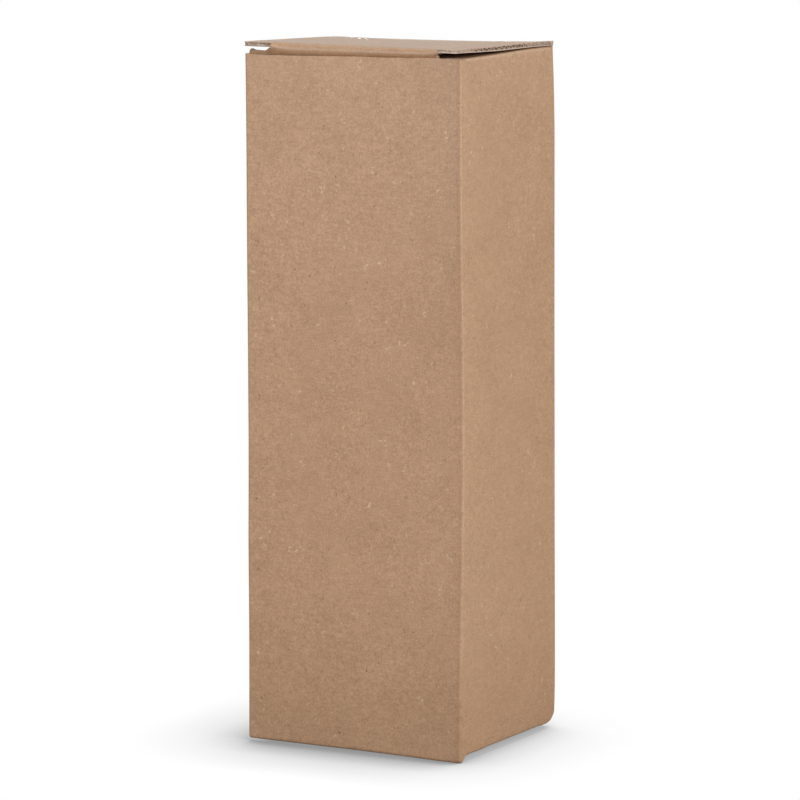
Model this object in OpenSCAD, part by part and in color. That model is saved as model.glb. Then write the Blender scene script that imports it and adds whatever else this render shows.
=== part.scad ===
// Tall closed carton of brown corrugated board, with a tuck lid on top and a
// bottom whose four flaps lock into each other. The front panel faces -Y and
// the lid hinges on the back panel. The origin is on the ground, under the
// middle of the box, and +Z is up. All sizes are in mm.
// One die-cut sheet is folded into the walls, the flaps and the lid.

/* [Box] */
// Outside width of the front and back panels
box_w = 77.5; // [66:0.5:96]
// Outside depth of the side panels
box_d = 66.5; // [56:0.5:84]
// Height of the front panel, from its bottom fold to its cut top edge
panel_h = 220; // [150:1:300]

/* [Board] */
// Thickness of the corrugated board
board_t = 1.4; // [1.1:0.1:1.8]
// Thickness of the paper on each face of the board
liner_t = 0.22; // [0.15:0.01:0.3]
// Thickness of the fluted paper between the faces
medium_t = 0.18; // [0.12:0.01:0.3]
// Distance from one flute to the next
flute_pitch = 3.4; // [2.4:0.1:5]
// Outside radius of the folded edges
fold_r = 0.9; // [0.6:0.1:1.4]
// Gap between a flap's edge and the panel beside it
flap_gap = 0.6; // [0.3:0.1:1.5]

/* [Lid] */
// Angle by which the springy lid stands open
lid_lift = 1.5; // [0:0.1:2]
// Distance that the lid's sides stand in from the faces of the side panels
lid_inset = 1.2; // [0.6:0.1:1.6]
// Gap between the shut lid and the dust flaps under it
lid_gap = 0.2; // [0.1:0.1:0.8]
// Height of the dust flap folds above the front panel's cut edge
side_rise = 0.5; // [0.2:0.1:1.2]
// Distance that the lid's corner tabs stop short of the front panel's face
tab_setback = 0.3; // [0:0.1:1]
// Opening between the lid and the back panel, along the hinge
hinge_gap = 0.1; // [0.05:0.05:0.2]

/* [Tuck flap] */
// Length of the tuck flap below its fold
tuck_len = 15; // [10:0.5:20]
// Outside radius of the fold between the lid and its tuck flap
tuck_fold_r = 2.2; // [2:0.1:3]
// Gap between the tuck flap and the front panel
tuck_gap = 0.3; // [0.2:0.1:0.8]
// Gap between each end of the tuck flap and the side panel
tuck_side_gap = 0.4; // [0.2:0.1:1.5]
// Radius of the tuck flap's free corners
tuck_corner_r = 7; // [2:0.5:9]
// Length of the slit at each end of the tuck fold
slit_len = 8; // [5:0.5:12]
// Width of the slit
slit_w = 1.3; // [0.8:0.1:2]
// Extra lean of the tuck flap that keeps it clear as the lid swings
swing_angle = 1.5; // [1:0.25:3]

/* [Dust flaps] */
// Length of the dust flaps, from the outside of the side panel
dust_len = 25; // [14:1:30]
// Radius of the dust flaps' free corners
dust_corner_r = 5; // [2:0.5:8]
// Gap between a dust flap's front edge and the path of the tuck flap
dust_gap = 0.5; // [0.3:0.1:2]

/* [Bottom flaps] */
// Gap between the front flap and the side flaps that lie on it
front_flap_gap = 0.7; // [0.2:0.1:1.2]
// Gap between the side flaps and the back flap that lies on them
back_flap_gap = 0.2; // [0.1:0.1:0.8]
// Distance that the front flap's flat part reaches past the middle
front_flap_past = 6; // [2:0.5:8]
// Distance that the front flap's ends stand back from the side panels
front_flap_inset = 7.5; // [4:0.5:10]
// Width of the front flap's locking tongue
tongue_w = 34; // [24:1:40]
// Length of the tongue's slope, from under the side flaps to the back flap
tongue_slope = 10; // [8:0.5:12]
// Length of the tongue's end, which lies on the back flap
tongue_len = 6; // [3:0.5:8]
// Gap at each side of the tongue
tongue_gap = 0.8; // [0.4:0.1:2]
// Half of the gap between the free edges of the side flaps
side_flap_gap = 3; // [1:0.5:8]
// Distance that the back flap's legs reach past the middle
back_leg_past = 4; // [0:0.5:10]
// Radius of the cut that frees the folds at each lower back corner
relief_r = 5; // [3:0.5:7]

/* [Glue flap] */
// Width of the strip that is glued inside the left side panel
glue_w = 12; // [8:1:18]
// Slope of the glue flap's ends
glue_taper = 3; // [1:0.5:6]
// Gap that the glue flap keeps from the flaps above and below it
glue_gap = 2; // [1:0.5:5]

/* [Hidden] */
$fn = 48;
kraft = "#b19074";
kraft_lid = "#b7987b";
over = 1;
cell_steps = 8;
bond = 0.04;
half_w = box_w / 2;
half_d = box_d / 2;
// Heights of the folds at the bottom: front, sides and back
side_low = board_t + front_flap_gap;
back_low = side_low + board_t + back_flap_gap;
tongue_rise = back_low + board_t + back_flap_gap;
// Heights of the folds at the top: sides and back
side_high = panel_h + side_rise;
total_h = side_high + lid_gap + board_t;
// Distances from the lid's hinge line towards its free edge
tab_reach = box_d - tab_setback;
tuck_reach = box_d - board_t - tuck_gap;
fold_start = tuck_reach - tuck_fold_r;
tuck_lean = asin((tuck_len + tuck_fold_r) / (2 * tuck_reach)) + swing_angle;
tuck_path = fold_start * cos(tuck_lean) + tuck_fold_r * (1 + sin(tuck_lean)) - board_t;
dust_reach = tuck_path - dust_gap;
// Half widths of the lid, and of the tuck flap at its fold and below the slits
lid_half = half_w - lid_inset;
neck_half = lid_half - slit_len;
ear_half = half_w - board_t - tuck_side_gap;
ear_start = max(0.1, (board_t + slit_w - tuck_fold_r * (1 + sin(tuck_lean))) / cos(tuck_lean));
// Shape of the wave between the two faces of the board
core_half = board_t / 2 - liner_t;
wave_amp = core_half - medium_t / 2 + bond;
cell_edge = acos((core_half - medium_t / 2) / wave_amp);
flute_room = fold_start - board_t;
flutes = floor(flute_room / flute_pitch) - 1;
flute_start = board_t + (flute_room - flutes * flute_pitch) / 2;

// Extrudes a (Y, Z) section along X, centred on X = 0
module along_x(w) {
  translate([-w / 2, 0, 0])
    rotate([90, 0, 90])
      linear_extrude(w) children();
}

// Extrudes an (X, Z) section along Y, from y0 to y1
module along_y(y0, y1) {
  translate([0, y1, 0])
    rotate([90, 0, 0])
      linear_extrude(y1 - y0) children();
}

// Repeats what is at the right on the left as well
module both_sides() {
  children();
  mirror([1, 0, 0]) children();
}

// What rounds a square corner at the origin. The solid lies towards -X and -Y,
// and turn swings it round.
module corner_cut(r, turn = 0) {
  rotate(turn)
    translate([-r, -r])
      difference() {
        square(r + over);
        circle(r);
      }
}

// Rectangle centred on the origin, with all corners rounded
module rounded_rect(w, d, r) {
  square([w - 2 * r, d], center = true);
  square([w, d - 2 * r], center = true);
  for (sx = [-1, 1])
    for (sy = [-1, 1])
      translate([sx * (w / 2 - r), sy * (d / 2 - r)]) circle(r);
}

// Side view of all that the walls may fill, with a mitre at the lid's hinge
module wall_profile() {
  polygon([
    [-half_d, 0],
    [-half_d + board_t, 0],
    [-half_d + board_t, side_low],
    [half_d - board_t, side_low],
    [half_d - board_t, back_low],
    [half_d, back_low],
    [half_d, total_h],
    [half_d - board_t, total_h - board_t],
    [half_d - board_t, side_high],
    [half_d - dust_reach, side_high],
    [half_d - dust_reach, panel_h],
    [-half_d, panel_h]
  ]);
}

// The four wall panels, folded round the box
module walls() {
  intersection() {
    difference() {
      linear_extrude(total_h) rounded_rect(box_w, box_d, fold_r);
      translate([0, 0, -over])
        linear_extrude(total_h + 2 * over)
          square([box_w - 2 * board_t, box_d - 2 * board_t], center = true);
    }
    along_x(box_w + 2 * over) wall_profile();
  }
}

// Plan of the right dust flap, folded in from the side panel
module dust_outline() {
  x0 = half_w - dust_len;
  y0 = half_d - dust_reach;
  y1 = half_d - board_t - flap_gap;
  r = dust_corner_r;
  translate([x0 + r, y0]) square([dust_len - r, y1 - y0]);
  translate([x0, y0 + r]) square([r, y1 - y0 - 2 * r]);
  translate([x0 + r, y0 + r]) circle(r);
  translate([x0 + r, y1 - r]) circle(r);
}

// Both dust flaps, folded in under the lid
module dust_flaps() {
  both_sides()
    translate([0, 0, side_high - board_t])
      linear_extrude(board_t) dust_outline();
}

// Plan of the right half of the front bottom flap, up to its tongue
module front_flap_outline() {
  polygon([
    [-over, -half_d],
    [half_w - board_t, -half_d],
    [half_w - front_flap_inset, -half_d + front_flap_inset],
    [half_w - front_flap_inset, front_flap_past],
    [-over, front_flap_past]
  ]);
}

// Side view of the tongue, which climbs through the lock onto the back flap
module tongue_section() {
  climb = front_flap_past + tongue_slope;
  polygon([
    [front_flap_past - over, 0],
    [front_flap_past, 0],
    [climb, tongue_rise],
    [climb + tongue_len, tongue_rise],
    [climb + tongue_len, tongue_rise + board_t],
    [climb, tongue_rise + board_t],
    [front_flap_past, board_t],
    [front_flap_past - over, board_t]
  ]);
}

// Plan of the right bottom flap, whose inner corner hooks over the front flap
module side_flap_outline() {
  front = -half_d + board_t + flap_gap;
  hook = tongue_w / 2 + tongue_gap;
  polygon([
    [half_w, front],
    [side_flap_gap, front + flap_gap],
    [side_flap_gap, front_flap_past - tongue_gap],
    [hook, front_flap_past - tongue_gap],
    [half_w - relief_r, half_d - 2 * relief_r],
    [half_w, half_d - relief_r]
  ]);
}

// Plan of the right half of the back bottom flap, notched for the tongue
module back_flap_outline() {
  outer = half_w - board_t - flap_gap;
  notch = tongue_w / 2 + tongue_gap;
  polygon([
    [-over, front_flap_past + tongue_slope],
    [notch, front_flap_past + tongue_slope],
    [notch + flap_gap, -back_leg_past],
    [outer - board_t, -back_leg_past],
    [outer, half_d - board_t / 2],
    [-over, half_d - board_t / 2]
  ]);
}

// The four bottom flaps: front below, sides on it and back on top
module bottom_flaps() {
  along_x(tongue_w) tongue_section();
  both_sides() {
    linear_extrude(board_t) front_flap_outline();
    translate([0, 0, side_low])
      linear_extrude(board_t) side_flap_outline();
    translate([0, 0, back_low])
      linear_extrude(board_t) back_flap_outline();
  }
}

// Strip of the back panel that is glued inside the left side panel
module glue_flap() {
  y1 = half_d - board_t;
  z0 = back_low + board_t + glue_gap;
  z1 = side_high - board_t - glue_gap;
  translate([board_t - half_w, 0, 0])
    rotate([90, 0, 90])
      linear_extrude(board_t)
        polygon([
          [y1, z0],
          [y1, z1],
          [y1 - glue_w, z1 - glue_taper],
          [y1 - glue_w, z0 + glue_taper]
        ]);
}

// What rounds the folds at the top and the bottom, on their outer side
module end_folds() {
  along_x(box_w + 2 * over) {
    translate([half_d, total_h]) corner_cut(fold_r);
    translate([-half_d, 0]) corner_cut(fold_r, 180);
    translate([half_d, back_low]) corner_cut(fold_r, 270);
  }
  both_sides() {
    along_y(half_d - dust_reach, half_d - board_t)
      translate([half_w, side_high]) corner_cut(fold_r);
    along_y(-half_d + board_t, half_d - board_t)
      translate([half_w, side_low]) corner_cut(fold_r, 270);
  }
}

// Rounded cuts that free the folds at the lower back corners
module corner_reliefs() {
  both_sides()
    translate([half_w, 0, 0])
      along_x(2 * board_t)
        translate([half_d, side_low]) corner_cut(relief_r, 270);
}

// Walls, dust flaps, bottom flaps and glue flap, which are one folded sheet
module carton() {
  color(kraft)
    difference() {
      union() {
        walls();
        dust_flaps();
        bottom_flaps();
        glue_flap();
      }
      end_folds();
      corner_reliefs();
    }
}

// One open cell between the wave and a face, from one crest to the next
module flute_cell() {
  polygon([
    for (i = [0:cell_steps])
      let (a = cell_edge + (360 - 2 * cell_edge) * i / cell_steps)
        [flute_pitch * a / 360, wave_amp * cos(a) + medium_t / 2]
  ]);
}

// Section of the lid's flat panel, from the hinge to the tuck fold.
// The hinge is at the origin and the outer face lies along Y = 0.
module lid_section() {
  difference() {
    polygon([
      [-fold_start, 0],
      [-hinge_gap, 0],
      [-hinge_gap - board_t, -board_t],
      [-fold_start, -board_t]
    ]);
    corner_cut(fold_r);
    for (i = [0:flutes - 1])
      translate([-flute_start - (i + 1) * flute_pitch, -board_t / 2]) flute_cell();
    for (i = [0:flutes - 2])
      translate([-flute_start - (i + 1.5) * flute_pitch, -board_t / 2])
        mirror([0, 1]) flute_cell();
  }
}

// Section of the bend from the lid into the tuck flap, and of the flap's neck.
// It starts with a stub inside the lid, and the neck's top is pointed, so that
// it reaches into the bend.
module tuck_bend_section() {
  r_in = tuck_fold_r - board_t;
  far = 2 * tuck_fold_r;
  outward = [-cos(tuck_lean), -sin(tuck_lean)];
  down = [sin(tuck_lean), -cos(tuck_lean)];
  neck_len = ear_start + over;
  translate([-fold_start, -tuck_fold_r]) {
    intersection() {
      difference() {
        circle(tuck_fold_r);
        circle(r_in);
      }
      polygon([[0, 0], [0, far], [-far, far], far * outward]);
    }
    translate([0, r_in]) square([over, board_t]);
    polygon([
      tuck_fold_r * outward,
      tuck_fold_r * outward + neck_len * down,
      r_in * outward + neck_len * down,
      r_in * outward,
      (r_in + board_t / 2) * outward - board_t / 2 * down
    ]);
  }
}

// Flat outline of the tuck flap below the slits, with its fold at Y = 0
module tuck_outline() {
  r = tuck_corner_r;
  translate([-ear_half, r - tuck_len]) square([2 * ear_half, tuck_len - r - ear_start]);
  translate([r - ear_half, -tuck_len]) square([2 * (ear_half - r), tuck_len - over]);
  for (side = [-1, 1])
    translate([side * (ear_half - r), r - tuck_len]) circle(r);
}

// Tuck flap at its place below the bend, leaning in from the front panel
module tuck_flap() {
  translate([0, -fold_start - tuck_fold_r * cos(tuck_lean), -tuck_fold_r * (1 + sin(tuck_lean))])
    rotate([tuck_lean, 0, 0])
      translate([0, board_t, 0])
        rotate([90, 0, 0])
          linear_extrude(board_t) tuck_outline();
}

// The lid's corner tabs, left standing beyond the slits
module corner_tabs() {
  both_sides()
    translate([neck_half, -tab_reach, -board_t])
      cube([slit_len, tab_reach - fold_start + over, board_t]);
}

// Lid with its tuck flap, hinged on the back panel and standing a little open
module top_lid() {
  color(kraft_lid)
    translate([0, half_d, total_h])
      rotate([-lid_lift, 0, 0]) {
        along_x(2 * lid_half) lid_section();
        along_x(2 * neck_half) tuck_bend_section();
        corner_tabs();
        tuck_flap();
      }
}

carton();
top_lid();
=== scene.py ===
"""Closed carton of brown corrugated board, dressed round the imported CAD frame."""

import math

import bmesh
import bpy
from mathutils import Matrix, Vector, noise


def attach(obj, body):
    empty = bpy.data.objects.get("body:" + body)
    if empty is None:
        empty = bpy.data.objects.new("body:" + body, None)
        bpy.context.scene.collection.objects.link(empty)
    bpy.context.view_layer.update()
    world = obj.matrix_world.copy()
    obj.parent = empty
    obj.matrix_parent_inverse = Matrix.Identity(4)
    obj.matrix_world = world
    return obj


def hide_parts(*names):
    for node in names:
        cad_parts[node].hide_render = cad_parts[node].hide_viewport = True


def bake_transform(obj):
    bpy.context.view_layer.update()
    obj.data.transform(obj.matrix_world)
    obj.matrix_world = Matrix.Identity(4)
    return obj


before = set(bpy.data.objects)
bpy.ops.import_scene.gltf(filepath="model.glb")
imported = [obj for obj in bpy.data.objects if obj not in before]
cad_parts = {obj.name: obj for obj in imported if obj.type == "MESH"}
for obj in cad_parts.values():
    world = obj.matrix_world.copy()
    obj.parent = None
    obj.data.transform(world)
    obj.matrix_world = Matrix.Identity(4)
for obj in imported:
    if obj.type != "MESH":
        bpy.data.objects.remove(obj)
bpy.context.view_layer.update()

MM = 0.001
# Sizes of the CAD part, in mm
HALF_W = 38.75
HALF_D = 33.25
PANEL_H = 220.0
SIDE_LOW = 2.1
BACK_LOW = 3.7
SIDE_HIGH = 220.5
BOARD = 1.4
FOLD_R = 0.9
TONGUE_RISE = 5.3
# Sizes of the looks, in mm
LID_BOARD = 1.5
LINER = 0.24
LOWER_LINER = 0.34
MEDIUM = 0.22
FLUTE = 3.4
LOW_ROW = 8.0
HIGH_ROW = 216.0
HINGE_ROW = 217.0
HINGE_R = 1.2
HINGE_REACH = 29.5
BACK_Y = 33.0
LID_LEFT = -37.95
LID_RIGHT = 37.2
LID_WIDER = 0.7
LID_FRONT = -33.2
NECK_LEFT = -28.6
NECK_RIGHT = 30.6
EAR = 36.6
EAR_TIP = 37.3
BEND_START = -29.17
TUCK_LEAN = math.radians(9.5)
TUCK_LEN = 13.7
TUCK_CORNER = 7.0
# The lid's bend into the tuck flap, as (forward, down, angle): along its middle, and at the slits' ends
BEND = [(0, 0, 0), (0.6, 0.02, 5), (1.2, 0.09, 10), (1.7, 0.21, 19), (2.15, 0.41, 28), (2.5, 0.66, 42),
        (2.8, 1, 55), (3, 1.4, 70), (3.09, 1.85, 88), (3.03, 2.3, 106), (2.78, 2.79, 125), (2.4, 3.25, 135),
        (2.11, 3.53, 130), (1.83, 3.94, 115), (1.68, 4.42, 99.5)]
BEND_ENDS = [(0, 0, 0), (1.2, 0, 0), (2.1, 0, 0), (2.7, 0.01, 3), (3.1, 0.04, 12), (3.42, 0.16, 35),
             (3.62, 0.4, 60), (3.72, 0.75, 80), (3.74, 1.2, 90), (3.7, 1.65, 100), (3.5, 2.15, 115),
             (3.1, 2.7, 125), (2.55, 3.25, 130), (2.1, 3.75, 115), (1.68, 4.42, 99.5)]
# Its painted light and shade, by how far down a place of it is: a painted sheen at its top, and painted shade
# lower down where it turns under into the gap behind the front panel
BEND_TONE = [(0, 0.18), (0.35, 0.2), (0.6, 0.05), (1, -0.15), (1.5, -0.34), (1.9, -0.33), (2.2, -0.24),
             (2.5, -0.17), (3.2, -0.17), (4.5, -0.2), (9, -0.03)]
# The number of the row of the bend at which its slits end, and the tuck flap's place below the bend
SLIT_ROW = 10
TUCK_FORWARD, TUCK_DOWN = BEND[-1][:2]
# How far in front of the bend's start the board's inner face ends
TUCK_INNER = 2.24
# How far the bend's rows have the lid above the front panel's edge, and how far down they stretch with it
LID_STANDS = 3.2
BEND_UPPER = 3.4
# How far from a slit the bend takes the form of its end, and how far from it the slit's slant reaches
END_REACH = 4.5
SLANT_REACH = 4
# The ears beside the bend: the slits' slants and how far the left ear is narrower, by the bend's row,
# and the ears' upper edges, by x
SLANT_LEFT = [(8, 0), (9, 0.4), (10, 1.5), (14, 1.5)]
SLANT_RIGHT = [(8, 0), (10, 0.8), (12, 2), (14, 2.2)]
NARROWER = [(10, 0.45), (12.5, -0.35), (13, -0.35), (14, 0.7)]
EAR_TOP = [(-37, 2.3), (-36.8, 2.25), (-36.6, 2.35), (-36, 2.68), (-31.9, 2.85), (-30.1, 2.37), (0, 2.3),
           (27.5, 2.3), (28, 4.2), (37, 4.3)]

# The corners of the walls in plan, by height: (z, x, y)
FRONT_LEFT = [(0, -38.45, -33.05), (20, -38.3, -33.05), (34, -38.2, -33.05), (65, -38.26, -33.05),
              (80, -38.08, -33.05), (97, -37.94, -33.05), (128, -37.94, -33.05), (160, -38.02, -33.05),
              (191, -37.97, -33.05), (216, -38.07, -33.05), (224, -38.12, -33.05)]
FRONT_RIGHT = [(0, 38.3, -33.05), (26, 38.5, -32.95), (45, 38.62, -32.6), (64, 38.68, -32.15),
               (80, 38.68, -31.75), (100, 38.68, -31.45), (120, 38.68, -31.6), (137, 38.66, -32.0),
               (163, 38.62, -32.6), (183, 38.6, -32.9), (205, 38.6, -33), (224, 38.65, -33.05)]
BACK_RIGHT = [(0, 38.5, 32.4), (7, 38.52, 32.9), (14.5, 38.52, 33.22), (37, 38.5, 33.2), (50, 38.42, 33.19),
              (65, 38.35, 33.17), (97, 38.27, 33.14), (128, 38.17, 33.12), (160, 38.12, 33.1),
              (191, 38.11, 33.06), (197, 38.08, 33.05), (210, 37.8, 33), (216.5, 37.53, 33),
              (220.5, 37.32, 33), (224, 37.32, 33)]
BACK_LEFT = [(0, -38.6, 33.15), (60, -38.5, 33), (224, -38.4, 33)]
# Height of the lid's top face along its left and right edges, by y, and at its back, by x
LID_Z_LEFT = [(-33.3, 223.72), (-26, 223.62), (-18.5, 223.42), (-10.8, 223.24), (-3.1, 223.07),
              (4.6, 222.9), (12.5, 222.7), (20.4, 222.5), (24.4, 222.36), (28.4, 222.1), (31, 221.85),
              (33.3, 221.6)]
LID_Z_RIGHT = [(-33.3, 222.85), (-26.7, 222.8), (-17.4, 222.72), (-1.7, 222.68), (10, 222.68),
               (21.9, 222.62), (31, 222.48), (33.3, 222.4)]
LID_Z_BACK = [(-38, 221.75), (-35, 221.62), (-31, 221.53), (-26, 221.48), (-17.6, 221.42), (-8.7, 221.42),
              (0, 221.5), (6.6, 221.5), (15.4, 221.65), (20, 221.78), (24, 221.86), (28, 221.96),
              (31.4, 221.93), (33.5, 222.07), (35.7, 222.35), (37.5, 222.45)]
# Height of the dust flaps' folds, by y
SIDE_TOP = [(-34, 220.1), (-20, 220.1), (-11, 220.22), (-2, 220.35), (5, 220.5), (15, 220.7), (34, 220.8)]
# Height of the front panel's cut edge, by x
FRONT_TOP = [(-38.7, 220.05), (-37.5, 219.95), (-35.5, 219.62), (-18.8, 219.64), (-10, 219.8), (-2.4, 219.92),
             (15, 219.95), (22, 220.08), (27.5, 220.25), (31.5, 220.28), (34.5, 220), (38.7, 220)]
# The side panels' lower edge, above their fold's height, by y: its front end, a low shoulder and the
# round corner
SIDE_EDGE = [(-29.2, -0.3), (-28.2, -0.15), (-26.5, -0.05), (-24, 0), (-22, -0.1), (-19, -0.25),
             (-16, 0), (22, 0), (24, -0.16), (25.5, -0.35), (26.9, -0.41), (28.3, -0.2), (29.7, 0.5),
             (31, 1.3), (32.4, 2.6), (33.25, 5.8)]
# The cut end of the front panel's fold, round the corner, above the ground, by y
TIP_RISE = [(-33.25, 0.05), (-32.3, 0.4), (-31.4, 0.75), (-30.6, 1.3), (-30, 1.9), (-29.2, 2.1)]
# How far the lower edge stands off the ground, by x
LIFT = [(-38.7, 0.82), (-20, 0.69), (0, 0.57), (10, 0.44), (20, 0.27), (30, 0.04), (36, 0)]

YAW = math.radians(28.48)
PITCH = math.radians(7.77)
ROLL = math.radians(-0.15)
FOCUS_PX = 4606.0
IMAGE_PX = 800.0
SENSOR_MM = 36.0
DISTANCE = 1471.1
AIM = (0.2, -0.65, 110)
AIM_LEFT = 0.528
AIM_DOWN = 1.43


def make_camera():
    """Camera of the photograph, fitted to the box's corners."""
    ahead = Vector((-math.sin(YAW) * math.cos(PITCH), math.cos(YAW) * math.cos(PITCH),
                    -math.sin(PITCH)))
    right = Vector((math.cos(YAW), math.sin(YAW), 0))
    up = right.cross(ahead)
    target = Vector(AIM) - AIM_LEFT * right - AIM_DOWN * up
    place = target - DISTANCE * ahead
    side = right * math.cos(ROLL) + up * math.sin(ROLL)
    top = up * math.cos(ROLL) - right * math.sin(ROLL)
    data = bpy.data.cameras.new("camera")
    data.sensor_width = SENSOR_MM
    data.lens = FOCUS_PX / IMAGE_PX * SENSOR_MM
    data.clip_start = 0.1
    data.clip_end = 20
    camera = bpy.data.objects.new("camera", data)
    bpy.context.collection.objects.link(camera)
    turn = Matrix((side, top, -ahead)).transposed().to_4x4()
    camera.matrix_world = Matrix.Translation(place * MM) @ turn
    bpy.context.scene.camera = camera


def table(rows, at):
    """Value of a table of (place, value) at a place, straight between its rows."""
    if at <= rows[0][0]:
        return rows[0][1]
    for low, high in zip(rows, rows[1:]):
        if at <= high[0]:
            return low[1] + (high[1] - low[1]) * (at - low[0]) / (high[0] - low[0])
    return rows[-1][1]


def smooth(rows, at, reach):
    """The table's value averaged over a short reach, which rounds its kinks."""
    steps = (-1, -0.5, 0, 0.5, 1)
    return sum(table(rows, at + reach * s) for s in steps) / len(steps)


def clamp(value, low, high):
    return max(low, min(high, value))


def wobble(x, y, z, size, amount):
    """Smooth noise that is the same each time."""
    return amount * noise.noise(Vector((x, y, z)) / size)


CORNERS = [([(r[0], r[1]) for r in rows], [(r[0], r[2]) for r in rows], sx, sy)
           for rows, sx, sy in ((FRONT_LEFT, -1, -1), (FRONT_RIGHT, 1, -1),
                                (BACK_RIGHT, 1, 1), (BACK_LEFT, -1, 1))]


def settle(point):
    """Moves a point of the true box to where the sagging, slightly racked board has it."""
    x, y, z = point
    u = clamp((x / HALF_W + 1) / 2, 0, 1)
    v = clamp((y / HALF_D + 1) / 2, 0, 1)
    dx = dy = 0
    for xs, ys, sx, sy in CORNERS:
        share = (u if sx > 0 else 1 - u) * (v if sy > 0 else 1 - v)
        dx += share * (smooth(xs, z, 4) - sx * HALF_W)
        dy += share * (smooth(ys, z, 4) - sy * HALF_D)
    crown = (1 - (2 * u - 1) ** 2) * math.sin(math.pi * clamp(z / PANEL_H, 0, 1))
    dy -= 0.13 * crown * (1 - v)
    lift = table(LIFT, x) - 0.22 * clamp((x - 30) / 8, 0, 1) * clamp(z / 2, 0, 1)
    lift *= max(0, 1 - z / 14)
    return Vector((x + dx, y + dy, z + lift))


def lid_thick(x, y):
    """Thickness of the lid, which is pressed thinner towards its front right corner."""
    return LID_BOARD - 0.45 * clamp((x - 10) / 20, 0, 1) * clamp((-y - 5) / 25, 0, 1)


def lid_z(x, y):
    """Height of the lid's top face."""
    across = clamp((x - LID_LEFT) / (LID_RIGHT - LID_LEFT), 0, 1)
    along = clamp((y + HALF_D) / (2 * HALF_D), 0, 1)

    def straight(at):
        left = smooth(LID_Z_LEFT, at, 3)
        return left + (smooth(LID_Z_RIGHT, at, 3) - left) * across
    sag = smooth(LID_Z_BACK, x, 3) - straight(HALF_D)
    return straight(y) + sag * along ** 3


class Sheet:
    """Board or paper: an outer face, an inner face and the cut edges between them."""

    def __init__(self):
        self.outer = []
        self.inner = []
        self.shading_and_wear = []
        self.known = {}
        self.faces = []

    def vertex(self, outer, inner, shading_and_wear=0.0):
        key = tuple(round(c, 3) for c in outer)
        if key not in self.known:
            self.known[key] = len(self.outer)
            self.outer.append(Vector(outer))
            self.inner.append(Vector(inner))
            self.shading_and_wear.append(shading_and_wear)
        return self.known[key]

    def grid(self, rows):
        """Adds quads between rows of (outer, inner, value) points, the value mostly painted light and shade.
        """
        numbers = [[self.vertex(*point) for point in row] for row in rows]
        for a, b in zip(numbers, numbers[1:]):
            for i in range(len(a) - 1):
                corners = list(dict.fromkeys((a[i], a[i + 1], b[i + 1], b[i])))
                if len(corners) > 2:
                    self.faces.append(corners)

    def build(self, name, face, back, edge):
        """Makes the mesh object, with a material for each face and one for the cut edges."""
        bm = bmesh.new()
        shading_and_wear = bm.verts.layers.float.new("shading_and_wear")
        count = len(self.outer)
        verts = [bm.verts.new(p * MM) for p in self.outer + self.inner]
        for vert, value in zip(verts, self.shading_and_wear + self.shading_and_wear):
            vert[shading_and_wear] = value
        borders = {}
        for corners in self.faces:
            bm.faces.new([verts[i] for i in corners]).material_index = 0
            bm.faces.new([verts[i + count] for i in reversed(corners)]).material_index = 1
            for a, b in zip(corners, corners[1:] + corners[:1]):
                borders.setdefault((min(a, b), max(a, b)), []).append((a, b))
        for a, b in (uses[0] for uses in borders.values() if len(uses) == 1):
            bm.faces.new([verts[b], verts[a], verts[a + count], verts[b + count]]).material_index = 2
        bmesh.ops.remove_doubles(bm, verts=bm.verts, dist=0.00001 * MM)
        bmesh.ops.dissolve_degenerate(bm, edges=bm.edges, dist=0.00001 * MM)
        bmesh.ops.recalc_face_normals(bm, faces=bm.faces)
        return finish_mesh(bm, name, (face, back, edge))


def finish_mesh(bm, name, materials):
    """Makes the object of a finished mesh."""
    mesh = bpy.data.meshes.new(name)
    for f in bm.faces:
        f.smooth = True
    bm.to_mesh(mesh)
    bm.free()
    for material in materials:
        mesh.materials.append(material)
    mesh.set_sharp_from_angle(angle=math.radians(35))
    obj = bpy.data.objects.new(name, mesh)
    bpy.context.collection.objects.link(obj)
    return obj


def spread(start, end, fine=(0, 0.2, 0.4, 0.6, 0.8, 1, 1.25, 1.5, 1.75, 2, 2.4, 3, 4), step=3.5):
    """Places from start to end, close together near both of them."""
    length = abs(end - start)
    sign = 1 if end > start else -1
    inner = length - 2 * fine[-1]
    count = max(1, round(inner / step))
    places = list(fine[:-1]) + [fine[-1] + inner * i / count for i in range(count + 1)]
    places += [length - f for f in reversed(fine[:-1])]
    return [start + sign * p for p in places]


ARC = [15, 30, 45, 60, 75]


def arc(cx, cy, first):
    """Points of a vertical fold, without its two ends."""
    angles = [first + a for a in ARC]
    return [(cx + FOLD_R * math.cos(math.radians(a)), cy + FOLD_R * math.sin(math.radians(a)))
            for a in angles]


def srgb(r, g, b):
    """Linear colour of 8-bit display values."""
    def one(c):
        c /= 255
        return c / 12.92 if c <= 0.04045 else ((c + 0.055) / 1.055) ** 2.4
    return (one(r), one(g), one(b), 1)


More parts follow.
